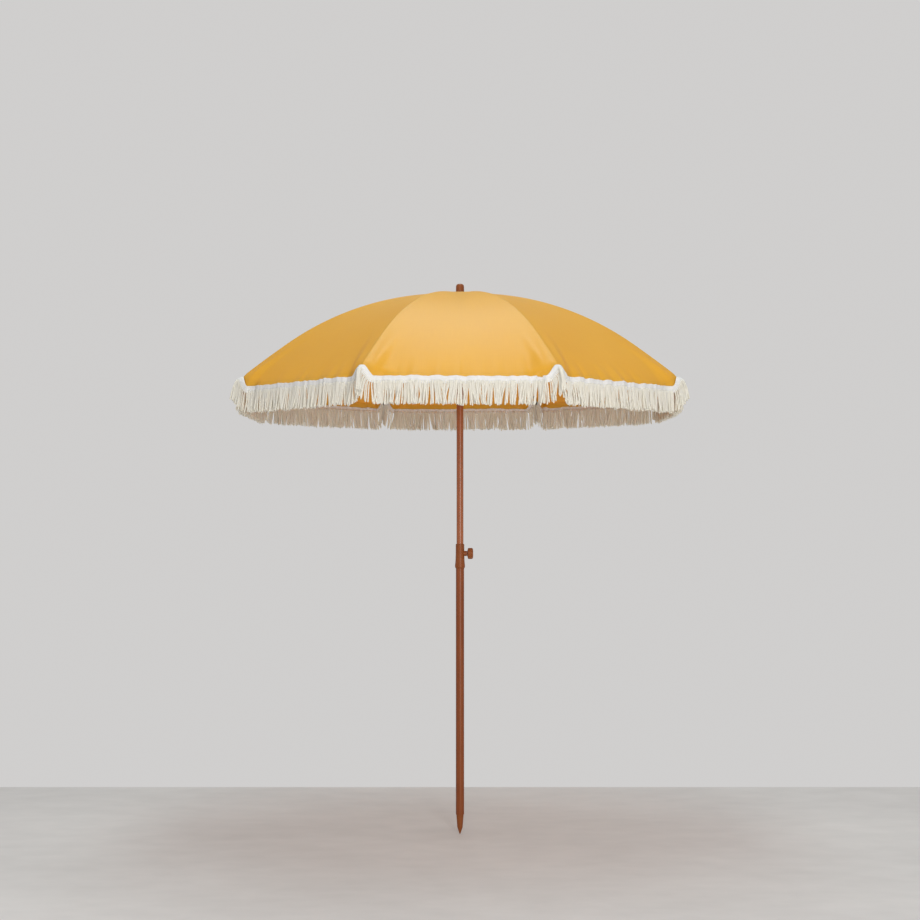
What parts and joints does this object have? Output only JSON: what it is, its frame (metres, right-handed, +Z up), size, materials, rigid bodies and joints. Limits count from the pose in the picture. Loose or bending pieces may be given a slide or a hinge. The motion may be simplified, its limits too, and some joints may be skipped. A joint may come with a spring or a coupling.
{
  "type": "beach umbrella",
  "caption": "Round fringed beach umbrella on a two-part spiked pole, with folding ribs, a sliding runner and a screw clamp that sets the height.",
  "frame": {"origin": "tip of the ground spike, on the pole's axis", "axes": "+Z up along the pole; a canopy panel faces -Y, the front; the clamp knob is on +X"},
  "size_m": [1.5842, 1.5842, 2],
  "materials": {
    "pole_finish": "steel tube with a warm brown wood-look coating, satin",
    "clamp_plastic": "moulded plastic in the pole's brown, satin",
    "brass": "turned brass",
    "screw_steel": "zinc plated",
    "black_plastic": "moulded, satin",
    "rib_steel": "dark coated rod",
    "canopy_cloth": "plain woven polyester, marigold yellow",
    "fringe_cord": "twisted off-white cotton cord"
  },
  "bodies": {
    "lower_pole": {"ground_spike": "pole_finish", "lower_pole": "pole_finish", "clamp_collar": "clamp_plastic", "clamp_nut": "brass"},
    "clamp_screw": {"clamp_screw": "screw_steel"},
    "clamp_knob": {"clamp_knob": "clamp_plastic"},
    "upper_pole": {"upper_pole": "pole_finish", "pole_bush": "black_plastic", "crown": "black_plastic", "crown_pins": "screw_steel", "finial": "clamp_plastic", "canopy_washer": "canopy_cloth"},
    "runner": {"runner": "black_plastic", "runner_pins": "screw_steel"},
    "runner_catch": {"runner_catch": "screw_steel"},
    "rib_1": {"rib_1": "rib_steel", "rib_tip_1": "black_plastic", "canopy_1": "canopy_cloth"},
    "stretcher_1": {"stretcher_1": "rib_steel"},
    "fringe_1": {"fringe_1": "fringe_cord"},
    "rib_2": {"rib_2": "rib_steel", "rib_tip_2": "black_plastic", "canopy_2": "canopy_cloth"},
    "stretcher_2": {"stretcher_2": "rib_steel"},
    "fringe_2": {"fringe_2": "fringe_cord"},
    "rib_3": {"rib_3": "rib_steel", "rib_tip_3": "black_plastic", "canopy_3": "canopy_cloth"},
    "stretcher_3": {"stretcher_3": "rib_steel"},
    "fringe_3": {"fringe_3": "fringe_cord"},
    "rib_4": {"rib_4": "rib_steel", "rib_tip_4": "black_plastic", "canopy_4": "canopy_cloth"},
    "stretcher_4": {"stretcher_4": "rib_steel"},
    "fringe_4": {"fringe_4": "fringe_cord"},
    "rib_5": {"rib_5": "rib_steel", "rib_tip_5": "black_plastic", "canopy_5": "canopy_cloth"},
    "stretcher_5": {"stretcher_5": "rib_steel"},
    "fringe_5": {"fringe_5": "fringe_cord"},
    "rib_6": {"rib_6": "rib_steel", "rib_tip_6": "black_plastic", "canopy_6": "canopy_cloth"},
    "stretcher_6": {"stretcher_6": "rib_steel"},
    "fringe_6": {"fringe_6": "fringe_cord"},
    "rib_7": {"rib_7": "rib_steel", "rib_tip_7": "black_plastic", "canopy_7": "canopy_cloth"},
    "stretcher_7": {"stretcher_7": "rib_steel"},
    "fringe_7": {"fringe_7": "fringe_cord"},
    "rib_8": {"rib_8": "rib_steel", "rib_tip_8": "black_plastic", "canopy_8": "canopy_cloth"},
    "stretcher_8": {"stretcher_8": "rib_steel"},
    "fringe_8": {"fringe_8": "fringe_cord"}
  },
  "joints": [
    {"name": "height_adjust", "type": "slide", "parent": "lower_pole", "child": "upper_pole", "axis": [0, 0, 1], "range_m": [-0.15, 0.15]},
    {"name": "screw_travel", "type": "slide", "parent": "lower_pole", "child": "clamp_screw", "axis": [1, 0, 0], "range_m": [0, 0.0025]},
    {"name": "knob_turn", "type": "hinge", "parent": "clamp_screw", "child": "clamp_knob", "pos_m": [0.037, 0, 1.0135], "axis": [1, 0, 0], "range_deg": [-4, 724]},
    {"name": "catch_press", "type": "slide", "parent": "upper_pole", "child": "runner_catch", "axis": [0, 1, 0], "range_m": [0, 0.0045], "stiffness_N_per_m": 900},
    {"name": "fold", "type": "hinge", "parent": "upper_pole", "child": "rib_1", "pos_m": [0.02217, 0.00918, 1.954], "axis": [-0.3827, 0.9239, 0], "range_deg": [0, 60], "deforming": ["canopy_1", "canopy_2", "canopy_3", "canopy_4", "canopy_5", "canopy_6", "canopy_7", "canopy_8", "fringe_1", "fringe_2", "fringe_3", "fringe_4", "fringe_5", "fringe_6", "fringe_7", "fringe_8", "runner_catch"]},
    {"name": "stretcher_pivot_1", "type": "hinge", "parent": "rib_1", "child": "stretcher_1", "pos_m": [0.34803, 0.14416, 1.88191], "axis": [-0.3827, 0.9239, 0], "range_deg": [-121, 1]},
    {"name": "fringe_hang_1", "type": "hinge", "parent": "rib_1", "child": "fringe_1", "pos_m": [0.74366, 0.30804, 1.63105], "axis": [-0.3827, 0.9239, 0], "range_deg": [-60.5, 0.5]},
    {"name": "runner_upright", "type": "hinge", "parent": "stretcher_1", "child": "runner", "pos_m": [0.02217, 0.00918, 1.80982], "axis": [-0.3827, 0.9239, 0], "range_deg": [-0.5, 60.5]},
    {"name": "rib_fold_2", "type": "hinge", "parent": "upper_pole", "child": "rib_2", "pos_m": [0.00918, 0.02217, 1.954], "axis": [-0.9239, 0.3827, 0], "range_deg": [-0.5, 60.5]},
    {"name": "stretcher_pivot_2", "type": "hinge", "parent": "rib_2", "child": "stretcher_2", "pos_m": [0.14416, 0.34803, 1.88191], "axis": [-0.9239, 0.3827, 0], "range_deg": [-121, 1]},
    {"name": "fringe_hang_2", "type": "hinge", "parent": "rib_2", "child": "fringe_2", "pos_m": [0.30804, 0.74366, 1.63105], "axis": [-0.9239, 0.3827, 0], "range_deg": [-60.5, 0.5]},
    {"name": "rib_fold_3", "type": "hinge", "parent": "upper_pole", "child": "rib_3", "pos_m": [-0.00918, 0.02217, 1.954], "axis": [-0.9239, -0.3827, 0], "range_deg": [-0.5, 60.5]},
    {"name": "stretcher_pivot_3", "type": "hinge", "parent": "rib_3", "child": "stretcher_3", "pos_m": [-0.14416, 0.34803, 1.88191], "axis": [-0.9239, -0.3827, 0], "range_deg": [-121, 1]},
    {"name": "fringe_hang_3", "type": "hinge", "parent": "rib_3", "child": "fringe_3", "pos_m": [-0.30804, 0.74366, 1.63105], "axis": [-0.9239, -0.3827, 0], "range_deg": [-60.5, 0.5]},
    {"name": "rib_fold_4", "type": "hinge", "parent": "upper_pole", "child": "rib_4", "pos_m": [-0.02217, 0.00918, 1.954], "axis": [-0.3827, -0.9239, 0], "range_deg": [-0.5, 60.5]},
    {"name": "stretcher_pivot_4", "type": "hinge", "parent": "rib_4", "child": "stretcher_4", "pos_m": [-0.34803, 0.14416, 1.88191], "axis": [-0.3827, -0.9239, 0], "range_deg": [-121, 1]},
    {"name": "fringe_hang_4", "type": "hinge", "parent": "rib_4", "child": "fringe_4", "pos_m": [-0.74366, 0.30804, 1.63105], "axis": [-0.3827, -0.9239, 0], "range_deg": [-60.5, 0.5]},
    {"name": "rib_fold_5", "type": "hinge", "parent": "upper_pole", "child": "rib_5", "pos_m": [-0.02217, -0.00918, 1.954], "axis": [0.3827, -0.9239, 0], "range_deg": [-0.5, 60.5]},
    {"name": "stretcher_pivot_5", "type": "hinge", "parent": "rib_5", "child": "stretcher_5", "pos_m": [-0.34803, -0.14416, 1.88191], "axis": [0.3827, -0.9239, 0], "range_deg": [-121, 1]},
    {"name": "fringe_hang_5", "type": "hinge", "parent": "rib_5", "child": "fringe_5", "pos_m": [-0.74366, -0.30804, 1.63105], "axis": [0.3827, -0.9239, 0], "range_deg": [-60.5, 0.5]},
    {"name": "rib_fold_6", "type": "hinge", "parent": "upper_pole", "child": "rib_6", "pos_m": [-0.00918, -0.02217, 1.954], "axis": [0.9239, -0.3827, 0], "range_deg": [-0.5, 60.5]},
    {"name": "stretcher_pivot_6", "type": "hinge", "parent": "rib_6", "child": "stretcher_6", "pos_m": [-0.14416, -0.34803, 1.88191], "axis": [0.9239, -0.3827, 0], "range_deg": [-121, 1]},
    {"name": "fringe_hang_6", "type": "hinge", "parent": "rib_6", "child": "fringe_6", "pos_m": [-0.30804, -0.74366, 1.63105], "axis": [0.9239, -0.3827, 0], "range_deg": [-60.5, 0.5]},
    {"name": "rib_fold_7", "type": "hinge", "parent": "upper_pole", "child": "rib_7", "pos_m": [0.00918, -0.02217, 1.954], "axis": [0.9239, 0.3827, 0], "range_deg": [-0.5, 60.5]},
    {"name": "stretcher_pivot_7", "type": "hinge", "parent": "rib_7", "child": "stretcher_7", "pos_m": [0.14416, -0.34803, 1.88191], "axis": [0.9239, 0.3827, 0], "range_deg": [-121, 1]},
    {"name": "fringe_hang_7", "type": "hinge", "parent": "rib_7", "child": "fringe_7", "pos_m": [0.30804, -0.74366, 1.63105], "axis": [0.9239, 0.3827, 0], "range_deg": [-60.5, 0.5]},
    {"name": "rib_fold_8", "type": "hinge", "parent": "upper_pole", "child": "rib_8", "pos_m": [0.02217, -0.00918, 1.954], "axis": [0.3827, 0.9239, 0], "range_deg": [-0.5, 60.5]},
    {"name": "stretcher_pivot_8", "type": "hinge", "parent": "rib_8", "child": "stretcher_8", "pos_m": [0.34803, -0.14416, 1.88191], "axis": [0.3827, 0.9239, 0], "range_deg": [-121, 1]},
    {"name": "fringe_hang_8", "type": "hinge", "parent": "rib_8", "child": "fringe_8", "pos_m": [0.74366, -0.30804, 1.63105], "axis": [0.3827, 0.9239, 0], "range_deg": [-60.5, 0.5]}
  ],
  "couplings": [
    {"joint": "knob_turn", "follows": "screw_travel", "rad_per_m": 5026.5},
    {"joint": "stretcher_pivot_1", "follows": "fold", "ratio": -2},
    {"joint": "fringe_hang_1", "follows": "fold", "ratio": -1},
    {"joint": "runner_upright", "follows": "fold", "ratio": 1},
    {"joint": "rib_fold_2", "follows": "fold", "ratio": 1},
    {"joint": "stretcher_pivot_2", "follows": "fold", "ratio": -2},
    {"joint": "fringe_hang_2", "follows": "fold", "ratio": -1},
    {"joint": "rib_fold_3", "follows": "fold", "ratio": 1},
    {"joint": "stretcher_pivot_3", "follows": "fold", "ratio": -2},
    {"joint": "fringe_hang_3", "follows": "fold", "ratio": -1},
    {"joint": "rib_fold_4", "follows": "fold", "ratio": 1},
    {"joint": "stretcher_pivot_4", "follows": "fold", "ratio": -2},
    {"joint": "fringe_hang_4", "follows": "fold", "ratio": -1},
    {"joint": "rib_fold_5", "follows": "fold", "ratio": 1},
    {"joint": "stretcher_pivot_5", "follows": "fold", "ratio": -2},
    {"joint": "fringe_hang_5", "follows": "fold", "ratio": -1},
    {"joint": "rib_fold_6", "follows": "fold", "ratio": 1},
    {"joint": "stretcher_pivot_6", "follows": "fold", "ratio": -2},
    {"joint": "fringe_hang_6", "follows": "fold", "ratio": -1},
    {"joint": "rib_fold_7", "follows": "fold", "ratio": 1},
    {"joint": "stretcher_pivot_7", "follows": "fold", "ratio": -2},
    {"joint": "fringe_hang_7", "follows": "fold", "ratio": -1},
    {"joint": "rib_fold_8", "follows": "fold", "ratio": 1},
    {"joint": "stretcher_pivot_8", "follows": "fold", "ratio": -2},
    {"joint": "fringe_hang_8", "follows": "fold", "ratio": -1}
  ]
}
